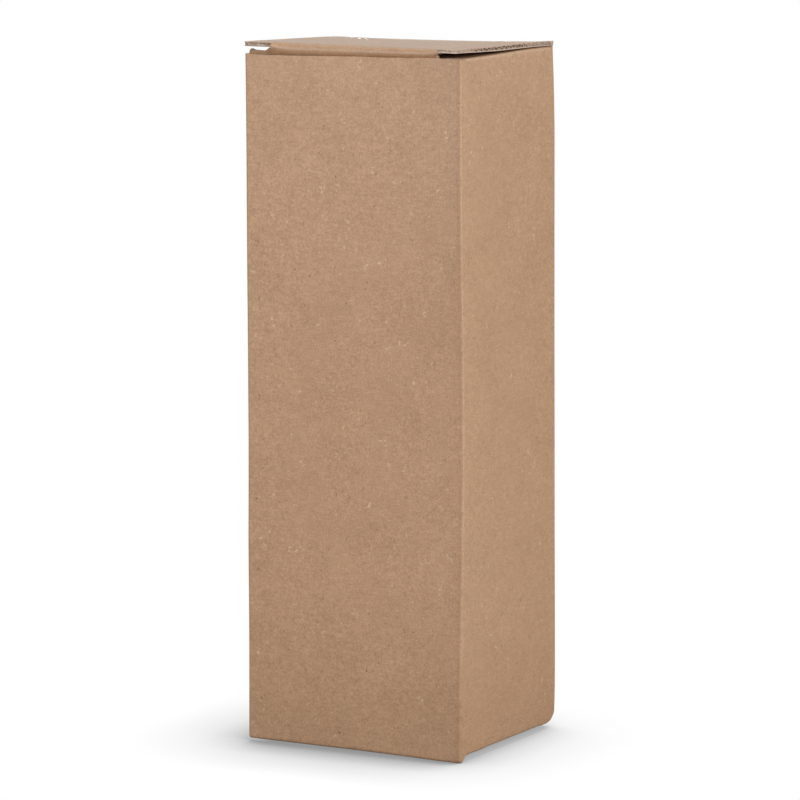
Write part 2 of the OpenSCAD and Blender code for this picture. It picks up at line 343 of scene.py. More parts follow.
class Nodes:
    """Short calls for building one material's nodes."""

    def __init__(self, name):
        self.material = bpy.data.materials.new(name)
        self.material.use_nodes = True
        self.tree = self.material.node_tree
        self.shader = self.tree.nodes["Principled BSDF"]
        self.output = self.tree.nodes["Material Output"]
        coords = self.add("ShaderNodeTexCoord")
        self.place = coords.outputs["Object"]

    def add(self, kind, **sets):
        node = self.tree.nodes.new(kind)
        for key, value in sets.items():
            setattr(node, key, value)
        return node

    def link(self, a, b):
        self.tree.links.new(a, b)

    def stretch(self, scale, turn=(0, 0, 0)):
        node = self.add("ShaderNodeMapping")
        node.inputs["Scale"].default_value = scale
        node.inputs["Rotation"].default_value = turn
        self.link(self.place, node.inputs["Vector"])
        return node.outputs["Vector"]

    def noise(self, vector, size_mm, detail=2.0, rough=0.5):
        node = self.add("ShaderNodeTexNoise")
        node.inputs["Scale"].default_value = 1000 / size_mm
        node.inputs["Detail"].default_value = detail
        node.inputs["Roughness"].default_value = rough
        self.link(vector, node.inputs["Vector"])
        return node.outputs["Fac"]

    def math(self, kind, a, b=None, clamped=False):
        node = self.add("ShaderNodeMath", operation=kind, use_clamp=clamped)
        for socket, value in zip(node.inputs, (a, b)):
            if value is None:
                continue
            if isinstance(value, (int, float)):
                socket.default_value = value
            else:
                self.link(value, socket)
        return node.outputs[0]

    def ramp(self, value, low, high, out_low=0.0, out_high=1.0):
        node = self.add("ShaderNodeMapRange", clamp=True)
        node.inputs["From Min"].default_value = low
        node.inputs["From Max"].default_value = high
        node.inputs["To Min"].default_value = out_low
        node.inputs["To Max"].default_value = out_high
        self.link(value, node.inputs["Value"])
        return node.outputs["Result"]

    def mix(self, share, a, b, kind="MIX"):
        node = self.add("ShaderNodeMix", data_type="RGBA", blend_type=kind)
        for socket, value in ((node.inputs[0], share), (node.inputs[6], a), (node.inputs[7], b)):
            if isinstance(value, (int, float, tuple)):
                socket.default_value = value
            else:
                self.link(value, socket)
        return node.outputs[2]


# Sparse specks and flecks in the paper: (size in mm, level of the noise, colour, strength)
SPECKS = ((2.3, 0.79, srgb(118, 88, 66), 0.5), (3.1, 0.8, srgb(214, 186, 158), 0.55),
          (1.9, 0.86, srgb(88, 64, 46), 0.8))
# Colours mixed in by the mesh's per-point value: the paler one mostly for painted light and sheen, the darker
# one mostly for painted shade
PALER_TINT = srgb(216, 184, 150)
DARKER_TINT = srgb(120, 92, 70)


def speckle(n, colour):
    """Lays the dark specks and pale flecks over a colour."""
    for size, low, tint, strength in SPECKS:
        spots = n.noise(n.stretch((1, 1, 0.7), (0.3, 0.2, 0.5)), size, 0.5, 0.4)
        dot = n.noise(n.place, size * 0.33, 1, 0.5)
        mask = n.math("MULTIPLY", n.ramp(spots, low - 0.14, low - 0.06), n.ramp(dot, 0.58, 0.66))
        colour = n.mix(n.math("MULTIPLY", mask, strength), colour, tint)
    return colour


def tint_by_shading_and_wear(n, colour):
    """Makes a colour paler where the mesh's per-point value is over 0, and darker where it is under 0: mostly
    painted light, sheen and shade.
    """
    attribute = n.add("ShaderNodeAttribute", attribute_name="shading_and_wear")
    tone_value = attribute.outputs["Fac"]
    ragged = n.math("MULTIPLY", tone_value, n.ramp(n.noise(n.place, 1.3, 3, 0.6), 0.3, 0.62, 0.45, 1.15))
    colour = n.mix(n.math("MAXIMUM", ragged, 0.0, True), colour, PALER_TINT)
    darker_share = n.math("MULTIPLY", tone_value, -1.0, True)
    return n.mix(darker_share, colour, DARKER_TINT)


def kraft(name, base, deep, pale, grain=1.0, shading_and_wear=True):
    """Brown kraft paper: cloudy, with short fibres, dark specks and pale flecks."""
    n = Nodes(name)
    cloud = n.noise(n.place, 14, 3, 0.55)
    patch = n.noise(n.place, 2.6, 3, 0.6)
    fine = n.noise(n.place, 0.52, 2, 0.6)
    along = n.noise(n.stretch((1, 1, 0.35)), 0.8, 1.5, 0.5)
    across = n.noise(n.stretch((0.3, 0.3, 1)), 0.8, 1.5, 0.5)
    tone = n.math("MULTIPLY", n.math("SUBTRACT", cloud, 0.5), 0.26)
    for layer, strength in ((patch, 0.27), (fine, 1.03), (along, 0.2), (across, 0.3)):
        part = n.math("MULTIPLY", n.math("SUBTRACT", layer, 0.5), strength * grain)
        tone = n.math("ADD", tone, part)
    level = n.math("ADD", tone, 0.5, clamped=True)
    ramp = n.add("ShaderNodeValToRGB")
    ramp.color_ramp.elements[0].position = 0.1
    ramp.color_ramp.elements[0].color = deep
    ramp.color_ramp.elements[1].position = 0.9
    ramp.color_ramp.elements[1].color = pale
    middle = ramp.color_ramp.elements.new(0.5)
    middle.color = base
    n.link(level, ramp.inputs["Fac"])
    colour = ramp.outputs["Color"]
    colour = speckle(n, colour)
    if shading_and_wear:
        colour = tint_by_shading_and_wear(n, colour)
    n.link(colour, n.shader.inputs["Base Color"])
    n.shader.inputs["Roughness"].default_value = 0.45
    n.shader.inputs["Specular IOR Level"].default_value = 0.5
    bump = n.add("ShaderNodeBump")
    bump.inputs["Strength"].default_value = 0.25
    bump.inputs["Distance"].default_value = 0.00006
    n.link(n.math("ADD", fine, n.math("MULTIPLY", along, 0.6)), bump.inputs["Height"])
    n.link(bump.outputs["Normal"], n.shader.inputs["Normal"])
    return n.material


# Which way the ambient occlusion of the floor's painted shadow leans: a little towards behind the object and
# its right, so the shadow is longer in front
LEAN = (0.215, 0.4, 0.891)
# The shadow's layers: (reach in m, strength)
SHADOW = ((0.042, 0.55), (0.018, 0.44), (0.006, 0.3))
# How pale the shadow is at its darkest, and how much paler under the raised side and back edges
DARKEST = 0.3
RAISED_PALER = 0.2


def floor_material():
    """White ground with a painted shadow: its glow darkens close to the object by ambient occlusion, as soft
    light from all round would leave it.
    """
    n = Nodes("floor")
    n.tree.nodes.remove(n.shader)
    bounce = n.add("ShaderNodeBsdfDiffuse")
    bounce.inputs["Color"].default_value = (0.25, 0.245, 0.24, 1)
    lean = n.add("ShaderNodeCombineXYZ")
    for axis, value in zip("XYZ", LEAN):
        lean.inputs[axis].default_value = value
    shade = 1.0
    for reach, strength in SHADOW:
        open_sky = n.add("ShaderNodeAmbientOcclusion", samples=16)
        open_sky.inputs["Distance"].default_value = reach
        n.link(lean.outputs["Vector"], open_sky.inputs["Normal"])
        part = n.math("POWER", open_sky.outputs["AO"], strength)
        shade = n.math("MULTIPLY", part, shade)
    # beside the box and behind it, where its edges are raised, the painted shadow is kept paler by place
    place = n.add("ShaderNodeSeparateXYZ")
    n.link(n.place, place.inputs["Vector"])
    beside = n.math("MULTIPLY", n.ramp(n.math("ABSOLUTE", place.outputs["X"]), 0.031, 0.03875),
                    n.ramp(place.outputs["Y"], -0.0332, -0.031))
    edge = n.math("MAXIMUM", beside, n.ramp(place.outputs["Y"], 0.023, 0.03325))
    least = n.math("ADD", n.math("MULTIPLY", edge, RAISED_PALER), DARKEST)
    seen = n.add("ShaderNodeEmission")
    n.link(n.math("MAXIMUM", n.math("MINIMUM", shade, 1.0), least), seen.inputs["Strength"])
    path = n.add("ShaderNodeLightPath")
    pick = n.add("ShaderNodeMixShader")
    n.link(path.outputs["Is Camera Ray"], pick.inputs[0])
    n.link(bounce.outputs[0], pick.inputs[1])
    n.link(seen.outputs[0], pick.inputs[2])
    n.link(pick.outputs[0], n.output.inputs["Surface"])
    return n.material


FACE = kraft("kraft_face", srgb(176, 139, 107), srgb(148, 112, 82), srgb(200, 162, 130))
BACK = kraft("kraft_back", srgb(174, 139, 108), srgb(148, 113, 84), srgb(198, 162, 132))
EDGE = kraft("cut_edge", srgb(176, 148, 124), srgb(128, 100, 78), srgb(218, 194, 170), grain=1.6,
             shading_and_wear=False)
PALE_EDGE = kraft("cut_paper", srgb(186, 164, 148), srgb(156, 134, 118), srgb(210, 190, 176))
FLUTING = kraft("fluting", srgb(160, 140, 124), srgb(112, 90, 74), srgb(200, 182, 166), grain=2)

R = FOLD_R
X_IN = HALF_W - BOARD
Y_IN = HALF_D - BOARD
# How much darker the line along the front right fold is painted, by height: a painted shade along the crease
CREASE = [(0, -0.12), (15, -0.1), (30, -0.04), (60, 0), (120, 0), (145, -0.02), (160, -0.05), (224, -0.06)]
# Painted light and shade of the front and right side panels, by height: both darker near the ground, where
# less light reaches, the front also darker towards its top, the side lighter in its lower middle
FRONT_TONE = [(0, -0.22), (12, -0.18), (30, -0.06), (50, -0.01), (170, -0.01), (195, -0.04), (224, -0.08)]
SIDE_TONE = [(0, -0.1), (12, -0.04), (25, 0.02), (40, 0.06), (75, 0.07), (110, 0.03), (224, 0)]


def wall_painted_shading(x, y, z):
    """Painted light and shade of the front and right side panels: their tones by height, the dark line along
    their fold and the bands beside it.
    """
    tone = table(FRONT_TONE, z) * clamp(1 - (y + HALF_D) / R, 0, 1)
    tone += table(SIDE_TONE, z) * clamp(1 - (HALF_W - x) / R, 0, 1)
    if y > 20 or x < 0:
        return tone
    # distance round the fold, from its middle towards the side panel
    quarter = R * math.pi / 4
    if x >= HALF_W - 0.001:
        d = quarter + (y + HALF_D - R)
    elif y <= -HALF_D + 0.001:
        d = -quarter - (HALF_W - R - x)
    else:
        d = R * (math.atan2(y + HALF_D - R, x - HALF_W + R) + math.pi / 4)
    # painted light: the side panel paler beside the fold; painted shade: the front panel darker beside it
    if d > 0:
        tone += 0.13 * math.exp(-d / 14) * clamp(z / 50, 0, 1)
    else:
        tone -= (0.09 + 0.07 * clamp((z - 100) / 80, 0, 1)) * math.exp(d / 9)
    # the dark line along the fold and a band on the front panel's side of it are painted shade
    d -= 0.15 + wobble(0, 0, z, 7, 0.25)
    tone += table(CREASE, z) * math.exp(-(d / (0.28 if d < 0 else 0.5)) ** 2)
    return tone - 0.12 * math.exp(-((d + 0.95) / 0.55) ** 2)


def wall_point(x, y, z):
    """A point of the walls: its outer place, its inner one and its painted light and shade."""
    inner = (clamp(x, -X_IN, X_IN), clamp(y, -Y_IN, Y_IN), z)
    return settle((x, y, z)), settle(inner), wall_painted_shading(x, y, z)


def low_edge(y):
    """How far the side panel's lower edge is above its fold's height."""
    return smooth(SIDE_EDGE, y, 0.3)


NEAR = 0.001
# Where the side panels' flaps start, and where the bottom ones and the dust flaps end, by y
FLAP_FRONT = -29.2
FLAP_BACK = 28.25
DUST_BACK = 31.25
# Height of the back panel's lower corners
CORNER_CUT = 7.1
# The cut end of the front panel's fold is not turned under, and the start of the round cut is turned in:
# where by y, and over what reach
TIP_TURNED = -31.5
TIP_TURN_REACH = 1.7
CUT_TURNED = 29.9
CUT_TURN_REACH = 1.65
LOW_ROWS = [LOW_ROW, 6, 4.5, SIDE_LOW + R]
TOP_ROWS = [HIGH_ROW, 218, 219]
WALL_ROWS = 60
FOLD_ANGLES = [math.radians(angle) for angle in (22.5, 45, 67.5, 90)]
# Outlines of the flaps: (y, half width), (x, front y, back y) and, for the dust flaps, (x, cut at each end)
FRONT_FLAP = [(-HALF_D + 1.4, 37.35), (-HALF_D + 4, 34.8), (-HALF_D + 7.5, 31.25), (-20, 31.25),
              (-13, 31.25), (-6, 31.25), (0, 31.25), (6, 31.25)]
SIDE_FLAP = [(36, -31, 26), (33.75, -30.9, 23.25), (28, -30.8, 16.7), (22, -30.8, 10), (17.8, -30.7, 5.2),
             (10, -30.7, 5.2), (3, -30.6, 5.2)]
BACK_FLAP = [(28, 36.6), (22, 36.5), (16.1, 36.4)]
BACK_LEG = [(16.1, 36.4), (10, 36.2), (3, 35.8), (-4, 35.2)]
LEG_INNER = 17.8
DUST_FLAP = [(36, 0), (30, 0), (24, 0), (18.75, 0), (16, 0.8), (14.6, 2.2), (13.85, 4)]
# The front flap's tongue: its path as (y, z), and its half width
TONGUE = [(5.5, 0), (6, 0), (8, 0.7), (11, 2.6), (14, 4.6), (16, TONGUE_RISE), (19, TONGUE_RISE),
          (22, TONGUE_RISE)]
TONGUE_HALF = 17
GLUE_FLAP = 12
GLUE_TAPER = 3


def snap(places, stop):
    """Moves the place nearest to a stop onto it, and returns its number."""
    nearest = min(range(len(places)), key=lambda i: abs(places[i] - stop))
    places[nearest] = stop
    return nearest


def between(columns, low, high):
    """The columns from one y to another, both included."""
    return [c for c in columns if low - NEAR <= c[1] <= high + NEAR]


def rows_of(columns, heights):
    return [[wall_point(x, y, z) for x, y in columns] for z in heights]


def flat_row(places, z):
    """A row of points across a level flap, a board's thickness high."""
    return [(settle((x, y, z)), settle((x, y, z + BOARD)), 0.0) for x, y in places]


class Plan:
    """The walls in plan: columns of points along the panels and round the folds between them."""

    def __init__(self):
        across = spread(-HALF_W + R, HALF_W - R)
        side_y = spread(-HALF_D + R, HALF_D - R)
        for stop in (FLAP_FRONT, FLAP_BACK, DUST_BACK):
            snap(side_y, stop)
        back_x = across[::-1]
        nearest = snap(back_x, X_IN)
        back_x[-1 - nearest] = -X_IN
        self.front = [(x, -HALF_D) for x in across]
        self.right = [(HALF_W, y) for y in side_y]
        self.back = [(x, HALF_D) for x in back_x]
        self.left = [(-HALF_W, y) for y in reversed(side_y)]
        self.back_right = arc(HALF_W - R, HALF_D - R, 0)
        self.back_left = arc(-HALF_W + R, HALF_D - R, 90)
        front_right = arc(HALF_W - R, -HALF_D + R, -90)
        front_left = arc(-HALF_W + R, -HALF_D + R, 180)
        ring = (self.front + front_right + self.right + self.back_right
                + self.back + self.back_left + self.left + front_left)
        self.ring = ring + ring[:1]
        # the front panel, with the strips of the side panels in front of their flaps
        start = between(self.left, -HALF_D, FLAP_FRONT) + front_left
        end = front_right + between(self.right, -HALF_D, FLAP_FRONT)
        self.strip = start + self.front + end
        self.strip_front = slice(len(start), len(start) + len(self.front))

    def side(self, sign):
        """The columns of a side panel, of the fold behind it and of the back panel from there."""
        if sign > 0:
            return self.right, self.back_right, self.back
        return self.left, self.back_left[::-1], self.back[::-1]


def lower_front(sheet, plan):
    """The front panel's bottom fold, the lowest of the four, and its flap."""
    def raised(x, y, z):
        """A height of the fold: its cut end, round the corner, tapers upwards."""
        rise = table(TIP_RISE, y) if abs(x) > HALF_W - R else 0
        return z + rise * (1 - z / (SIDE_LOW + R))

    rows = rows_of(plan.strip, LOW_ROWS)
    for z in (SIDE_LOW, 1.5, R):
        rows.append([wall_point(x, y, raised(x, y, z)) for x, y in plan.strip])
    for a in FOLD_ANGLES:
        line = []
        for x, y in plan.strip:
            turn = R * (1 - math.cos(a)) * clamp((TIP_TURNED - y) / TIP_TURN_REACH, 0, 1)
            outer = (x, y + turn, raised(x, y, R - R * math.sin(a)))
            inner = (clamp(x, -X_IN, X_IN), clamp(y, -Y_IN, Y_IN), raised(x, y, BOARD))
            line.append((settle(outer), settle(inner), wall_painted_shading(x, y, 0)))
        rows.append(line)
    sheet.grid(rows)
    flap = [rows[-1][plan.strip_front]]
    for y, half in FRONT_FLAP:
        flap.append(flat_row([(x * half / (HALF_W - R), y) for x, _ in plan.front], 0))
    sheet.grid(flap)


def lower_side(sheet, plan, sign):
    """A side panel's bottom fold and flap, and the round cut at the back corner."""
    columns, corner, back = plan.side(sign)
    fold = between(columns, FLAP_FRONT, FLAP_BACK)
    rows = [[wall_point(x, y, z + share * low_edge(y)) for x, y in fold]
            for z, share in zip(LOW_ROWS, (0, 0.3, 0.6, 1))]
    for a in FOLD_ANGLES:
        rows.append([(settle((sign * (HALF_W - R + R * math.cos(a)), y,
                              SIDE_LOW + R - R * math.sin(a) + low_edge(y))),
                      settle((sign * X_IN, y, SIDE_LOW + BOARD + low_edge(y))), 0.0) for _, y in fold])
    for x, y0, y1 in SIDE_FLAP:
        rows.append(flat_row([(sign * x, y0 + (y1 - y0) * (y - FLAP_FRONT) / (FLAP_BACK - FLAP_FRONT))
                              for _, y in fold], SIDE_LOW))
    sheet.grid(rows)

    tail = [c for c in back if abs(c[0]) >= X_IN - NEAR]
    cut = sorted(between(columns, FLAP_BACK, HALF_D), key=lambda c: c[1]) + corner + tail[:2]
    ends = [CORNER_CUT if abs(x) < HALF_W - 0.5 * R else SIDE_LOW + low_edge(y) for x, y in cut]
    rows = []
    for share, turn in ((0, 0), (0.34, 0), (0.6, 0), (0.85, 0.12), (1, 0.6)):
        rows.append([wall_point(x - sign * turn * clamp((CUT_TURNED - y) / CUT_TURN_REACH, 0, 1), y,
                                LOW_ROW + (end - LOW_ROW) * share) for (x, y), end in zip(cut, ends)])
    sheet.grid(rows)


def lower_back(sheet, plan):
    """The back panel's bottom fold and flap."""
    fold = [c for c in plan.back if abs(c[0]) <= X_IN + NEAR]
    rows = rows_of(fold, [LOW_ROW, 6.5, 5.5, BACK_LOW + R])
    for a in FOLD_ANGLES:
        rows.append([(settle((x, HALF_D - R + R * math.cos(a), BACK_LOW + R - R * math.sin(a))),
                      settle((x, Y_IN, BACK_LOW + BOARD)), 0.0) for x, _ in fold])
    for y, half in BACK_FLAP:
        rows.append(flat_row([(x * half / X_IN, y) for x, _ in fold], BACK_LOW))
    sheet.grid(rows)


def upper_front(sheet, plan):
    """The front panel's cut upper edge."""
    tops = []
    for x, y in plan.strip:
        top = smooth(FRONT_TOP, x, 3) + wobble(x, y, 0, 1.1, 0.16) + wobble(x, y, 5, 4, 0.1)
        if abs(x) > HALF_W - 0.6 and y > -HALF_D + 0.5:
            top -= 0.2
        tops.append(top)
    rows = rows_of(plan.strip, TOP_ROWS)
    start = TOP_ROWS[-1]
    for share in (0.5, 1):
        rows.append([wall_point(x, y, start + (top - start) * share)
                     for (x, y), top in zip(plan.strip, tops)])
    sheet.grid(rows)


def upper_side(sheet, plan, sign):
    """A side panel's top fold and dust flap, and the corner behind the flap."""
    columns, corner, back = plan.side(sign)
    fold = between(columns, FLAP_FRONT, DUST_BACK)
    rows = rows_of(fold, TOP_ROWS)
    # the fold's round is painted paler towards its top, a painted highlight where it catches the light
    for a in [0.0] + FOLD_ANGLES:
        line = []
        for _, y in fold:
            top = smooth(SIDE_TOP, y, 3)
            line.append((settle((sign * (HALF_W - R + R * math.cos(a)), y, top - R + R * math.sin(a))),
                         settle((sign * X_IN, y, top - BOARD)), 0.12 + 0.2 * math.sin(a)))
        rows.append(line)
    length = DUST_BACK - FLAP_FRONT
    for x, cut in DUST_FLAP:
        drop = 0.5 * ((HALF_W - x) / 25) ** 2
        line = []
        for _, y in fold:
            at = FLAP_FRONT + cut + (length - 2 * cut) * (y - FLAP_FRONT) / length
            top = smooth(SIDE_TOP, y, 3) - drop
            line.append((settle((sign * x, at, top)), settle((sign * x, at, top - BOARD)), 0.0))
        rows.append(line)
    sheet.grid(rows)
    behind = sorted(between(columns, DUST_BACK, HALF_D), key=lambda c: c[1]) + corner + back[:1]
    sheet.grid(rows_of(behind, [HIGH_ROW, HINGE_ROW, *TOP_ROWS[1:], SIDE_HIGH + 0.35]))


def make_carton(plan):
    """The walls with their folds, bottom flaps and dust flaps, one sheet."""
    sheet = Sheet()
    heights = [LOW_ROW + (HIGH_ROW - LOW_ROW) * i / WALL_ROWS for i in range(WALL_ROWS + 1)]
    sheet.grid(rows_of(plan.ring, heights))
    lower_front(sheet, plan)
    for sign in (1, -1):
        lower_side(sheet, plan, sign)
    lower_back(sheet, plan)
    upper_front(sheet, plan)
    for sign in (1, -1):
        upper_side(sheet, plan, sign)
    # the upper back, as far as the hinge
    sheet.grid(rows_of(plan.back, [HIGH_ROW, HINGE_ROW]))
    return sheet.build("carton_board", FACE, BACK, EDGE)


def make_leg(sign):
    """One leg of the back flap."""
    leg = Sheet()
    leg.grid([flat_row([(sign * (LEG_INNER + (half - LEG_INNER) * i / 6), y) for i in range(7)], BACK_LOW)
              for y, half in BACK_LEG])
    return leg


def make_tongue():
    """The front flap's tongue, up through the lock."""
    tongue = Sheet()
    tongue.grid([flat_row([(-TONGUE_HALF + 2 * TONGUE_HALF * i / 10, y) for i in range(11)], z)
                 for y, z in TONGUE])
    return tongue


PLAN = Plan()
carton = make_carton(PLAN)
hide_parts("carton")
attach(carton, "box")
for number, piece in enumerate((make_leg(1), make_leg(-1), make_tongue())):
    flap = piece.build(f"bottom_flap_{number}", FACE, BACK, EDGE)
    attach(flap, "box")


def make_glue_flap():
    """The strip of the back panel glued inside the left side panel."""
    sheet = Sheet()
    top = SIDE_HIGH - BOARD - 2
    rows = []
    for i in range(13):
        y = Y_IN - GLUE_FLAP * i / 12
        low = CORNER_CUT + GLUE_TAPER * i / 12
        high = top - GLUE_TAPER * i / 12
        rows.append([(settle((-X_IN + 0.02, y, low + (high - low) * k / 40)),
                      settle((-X_IN + BOARD, y, low + (high - low) * k / 40)), 0.0) for k in range(41)])
    sheet.grid(rows)
    return sheet.build("glue_flap", BACK, BACK, EDGE)


glue = make_glue_flap()
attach(glue, "box")

# Places across the back panel and the lid, as shares from the left, and the rows along the lid, by y
ACROSS = [(x + HALF_W - R) / (2 * (HALF_W - R)) for x, _ in reversed(PLAN.back)]
LID_ROWS = [HINGE_REACH - (HINGE_REACH - BEND_START) * i / 24 for i in range(25)]


def wall_x(share):
    """Place across the back panel."""
    return -HALF_W + R + 2 * (HALF_W - R) * share


def lid_x(share, y=LID_FRONT):
    """Place across the lid, which is a little wider on the right at the back."""
    along = clamp((y + HALF_D) / (2 * HALF_D), 0, 1)
    return LID_LEFT + (LID_RIGHT + LID_WIDER * along ** 2 - LID_LEFT) * share


def widened(x, y):
    """Where the lid's widening has a place across it."""
    return lid_x((x - LID_LEFT) / (LID_RIGHT - LID_LEFT), y)


def make_hinge():
    """The bend of the board from the back panel into the lid."""
    sheet = Sheet()
    rows = []
    for z in (HINGE_ROW, 218.2, 219.4):
        rows.append([wall_point(wall_x(p), HALF_D, z) for p in ACROSS])
    starts = [settle((wall_x(p), HALF_D, 220))[0] for p in ACROSS]
    for angle in (0, 15, 30, 45, 60, 75, 90):
        a = math.radians(angle)
        line = []
        for p, x0 in zip(ACROSS, starts):
            x = x0 + (lid_x(p, BACK_Y) - x0) * angle / 90
            top = lid_z(x, BACK_Y - HINGE_R)
            outer = (x, BACK_Y - HINGE_R + HINGE_R * math.cos(a), top - HINGE_R + HINGE_R * math.sin(a))
            inner = (x, BACK_Y - LID_BOARD, top - LID_BOARD)
            line.append((outer, inner, 0.12 * math.sin(2 * a)))
        rows.append(line)
    for y in (31.2, 30.4, HINGE_REACH):
        line = []
        for p in ACROSS:
            x = lid_x(p, y)
            top = lid_z(x, y)
            line.append(((x, y, top), (x, y, top - LID_BOARD), 0.0))
        rows.append(line)
    sheet.grid(rows)
    return sheet.build("lid_fold", FACE, BACK, FLUTING)


hinge = make_hinge()
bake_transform(hinge)


def lid_point(x, y, depth):
    """A point at a depth below the lid's top face, square to its slope."""
    slope = (lid_z(x, y + 1) - lid_z(x, y - 1)) / 2
    depth *= lid_thick(x, y) / LID_BOARD
    return (x, y + depth * slope, lid_z(x, y) - depth)


def snapped_to_slits(xs):
    """Places across the lid, with one at each slit."""
    for stop in (NECK_LEFT, NECK_RIGHT):
        snap(xs, stop)
    return xs


def tab_places(xs, side):
    """The places across one of the corner tabs."""
    return [x for x in xs if (x <= NECK_LEFT if side < 0 else x >= NECK_RIGHT)]


def top_point(x, y, shift=0.0):
    """A point of the lid's outer paper."""
    x = widened(x, y)
    # the lid top is painted paler, a painted sheen of the light from above, and its right side edge is darker
    # towards the back
    shading_and_wear = 0.2 - 0.5 * clamp((x - 36.3) / 0.8, 0, 1) * clamp((y - 5) / 15, 0, 1)
    return ((x, y + shift, lid_z(x, y)), (x, y + shift, lid_z(x, y) - LINER), shading_and_wear)


def bend_point(x, place):
    """A point of a row of the bend, which has the board's whole thickness."""
    near_end = clamp(1 - min(x - NECK_LEFT, NECK_RIGHT - x) / END_REACH, 0, 1)
    near_end = near_end ** 2 * (3 - 2 * near_end)
    forward, down, angle = (a + (b - a) * near_end for a, b in zip(BEND[place], BEND_ENDS[place]))
    # the part above the front panel's edge is as high as the lid stands there
    upper = min(down, BEND_UPPER)
    down += upper * ((lid_z(x, BEND_START) - PANEL_H) / LID_STANDS - 1)
    angle = math.radians(angle)
    y = BEND_START - forward
    left = x
    if x < NECK_LEFT + SLANT_REACH:
        left -= table(SLANT_LEFT, place) * (NECK_LEFT + SLANT_REACH - x) / SLANT_REACH
    elif x > NECK_RIGHT - SLANT_REACH:
        left -= table(SLANT_RIGHT, place) * (x - NECK_RIGHT + SLANT_REACH) / SLANT_REACH
    z = lid_z(x, y) - down
    inner_y = max(y + LID_BOARD * math.sin(angle), BEND_START - TUCK_INNER)
    low = min(z - LID_BOARD * math.cos(angle), lid_z(x, y) - LID_BOARD)
    # painted sheen and shade down the bend, with less painted shade low down near the slits' ends
    tone = table(BEND_TONE, down) + 0.1 * near_end * clamp(down - 1.7, 0, 1)
    return (left, y, z), (left, inner_y, low), tone


def ear_point(x, place, border):
    """A point of an ear, level with a row of the bend, whose border it joins."""
    top = smooth(EAR_TOP, x, 0.25)
    share = (place - SLIT_ROW) / (len(BEND) - 1 - SLIT_ROW)
    down = top + (TUCK_DOWN - top) * share
    forward = TUCK_FORWARD + (TUCK_DOWN - down) * math.tan(TUCK_LEAN)
    y = BEND_START - forward
    z = lid_z(x, y) - down
    join = clamp(1 - abs(x - border[0][0]) / (1.6 if x < 0 else 0.6), 0, 1)
    outer = Vector((x, y, z)).lerp(Vector((x, border[0][1], border[0][2])), join)
    inner = Vector((x, y + LID_BOARD, z)).lerp(Vector((x, border[1][1], border[1][2])), join)
    # painted shade down the ear, darker low down where it meets the front panel's edge
    tone = table(BEND_TONE, down) - 0.15 * clamp((down - 3) / 0.7, 0, 1) * (1 - join)
    return tuple(outer), tuple(inner), tone


def ear_row(neck, place):
    """A row of the bend below its slits, with the ear on each side of it."""
    line = [bend_point(x, place) for x in neck]
    left_edge = line[0][0][0]
    right_edge = line[-1][0][0]
    tip = table(NARROWER, place) - EAR_TIP
    left_ear = [tip + (left_edge - tip) * k / 16 for k in range(16)]
    right_ear = [right_edge + (EAR - right_edge) * (k / 12) ** 1.6 for k in range(1, 13)]
    return ([ear_point(x, place, line[0]) for x in left_ear] + line
            + [ear_point(x, place, line[-1]) for x in right_ear])


def tuck_row(start, drop):
    """A row of the flat part of the tuck flap, below its first one."""
    cut = 0
    if drop > TUCK_LEN - TUCK_CORNER:
        cut = TUCK_CORNER - math.sqrt(TUCK_CORNER ** 2 - (drop - TUCK_LEN + TUCK_CORNER) ** 2)
    back = drop * math.sin(TUCK_LEAN)
    down = drop * math.cos(TUCK_LEAN)
    tone = table(BEND_TONE, TUCK_DOWN + down)
    line = []
    for (x, y, z), inner, _ in start:
        at = x * (EAR - cut) / EAR
        line.append(((at, y + back, z - down), (at, inner[1] + back, inner[2] - down), tone))
    return line


def make_lid():
    """The lid's outer paper and its tuck flap, one sheet with two slits."""
    sheet = Sheet()
    xs = snapped_to_slits([lid_x(p) for p in ACROSS])
    sheet.grid([[top_point(x, y) for x in xs] for y in LID_ROWS])
    for side in (-1, 1):
        tab = tab_places(xs, side)
        rows = []
        for y in (BEND_START, -30, -31, -32, -32.7, LID_FRONT):
            ragged = [abs(wobble(x, 0, 3, 1.2, 0.15)) if y == LID_FRONT else 0 for x in tab]
            rows.append([top_point(x, y, r) for x, r in zip(tab, ragged)])
        sheet.grid(rows)
    neck = [x for x in xs if NECK_LEFT <= x <= NECK_RIGHT]
    sheet.grid([[top_point(x, BEND_START) for x in neck]]
               + [[bend_point(x, i) for x in neck] for i in range(1, SLIT_ROW + 1)])
    # below the slits the flap is wider, and the left ear has a raised tip
    rows = [ear_row(neck, i) for i in range(SLIT_ROW, len(BEND))]
    drops = (0.8, 1.8, 3, 4.5, TUCK_LEN - TUCK_CORNER, 8.2, 9.7, 11.2, 12.4, 13.2, TUCK_LEN)
    sheet.grid(rows + [tuck_row(rows[-1], drop) for drop in drops])
    return sheet.build("lid_board", FACE, BACK, EDGE)


def make_lid_lining():
    """The lid's inner paper, up to the bend and out to the ends of the corner tabs."""
    sheet = Sheet()
    steps = 30
    xs = snapped_to_slits([LID_LEFT + (LID_RIGHT - LID_LEFT) * i / steps for i in range(steps + 1)])

    def point(x, y):
        x = widened(x, y)
        shading_and_wear = -0.45 if x < NECK_LEFT + 1 and y < -32 else -0.3 * clamp((y - 8) / 15, 0, 1)
        return (lid_point(x, y, LID_BOARD - LOWER_LINER), lid_point(x, y, LID_BOARD), shading_and_wear)
    sheet.grid([[point(x, y) for x in xs] for y in LID_ROWS])
    for side in (-1, 1):
        rows = []
        for y in (BEND_START, -30, -31, -32, LID_FRONT + 0.1):
            rows.append([point(x, y + (abs(wobble(x, 7, 3, 1.2, 0.15)) if y < -33 else 0))
                         for x in tab_places(xs, side)])
        sheet.grid(rows)
    return sheet.build("lid_lining", BACK, BACK, PALE_EDGE)


